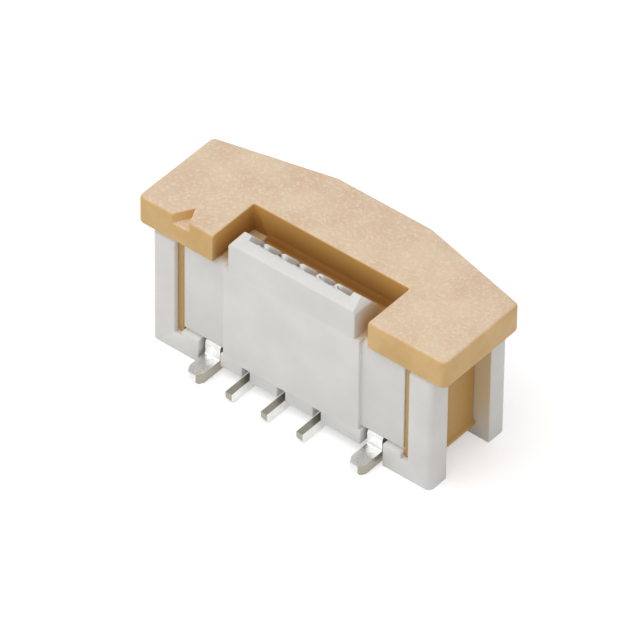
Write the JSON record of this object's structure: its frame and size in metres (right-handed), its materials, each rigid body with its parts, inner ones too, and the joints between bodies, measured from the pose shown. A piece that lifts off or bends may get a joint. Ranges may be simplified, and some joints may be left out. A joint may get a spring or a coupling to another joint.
{
  "type": "fpc connector",
  "caption": "Upright surface-mount connector for a flexible flat cable, with a slider that lifts to free the cable and presses it on spring contacts when shut.",
  "frame": {"origin": "on the circuit board, under the middle of the housing", "axes": "+X along the contact row with contact 1 at -X, +Y to the back, +Z away from the board, the way the slider lifts and the cable leaves"},
  "size_m": [0.0086, 0.0038, 0.0041],
  "materials": {
    "housing": "white moulded plastic, faintly translucent",
    "slider": "natural amber-beige moulded plastic with a fine grain",
    "contact": "tin-plated copper alloy",
    "fitting_nail": "tin-plated copper alloy"
  },
  "bodies": {
    "housing": {"housing": "housing", "contact_1": "contact", "contact_2": "contact", "contact_3": "contact", "contact_4": "contact", "contact_5": "contact", "contact_6": "contact", "fitting_nail_left": "fitting_nail", "fitting_nail_right": "fitting_nail"},
    "slider": {"slider": "slider"}
  },
  "joints": [
    {"name": "slider_lift", "type": "slide", "parent": "housing", "child": "slider", "axis": [0, 0, 1], "range_m": [0, 0.00095]}
  ]
}
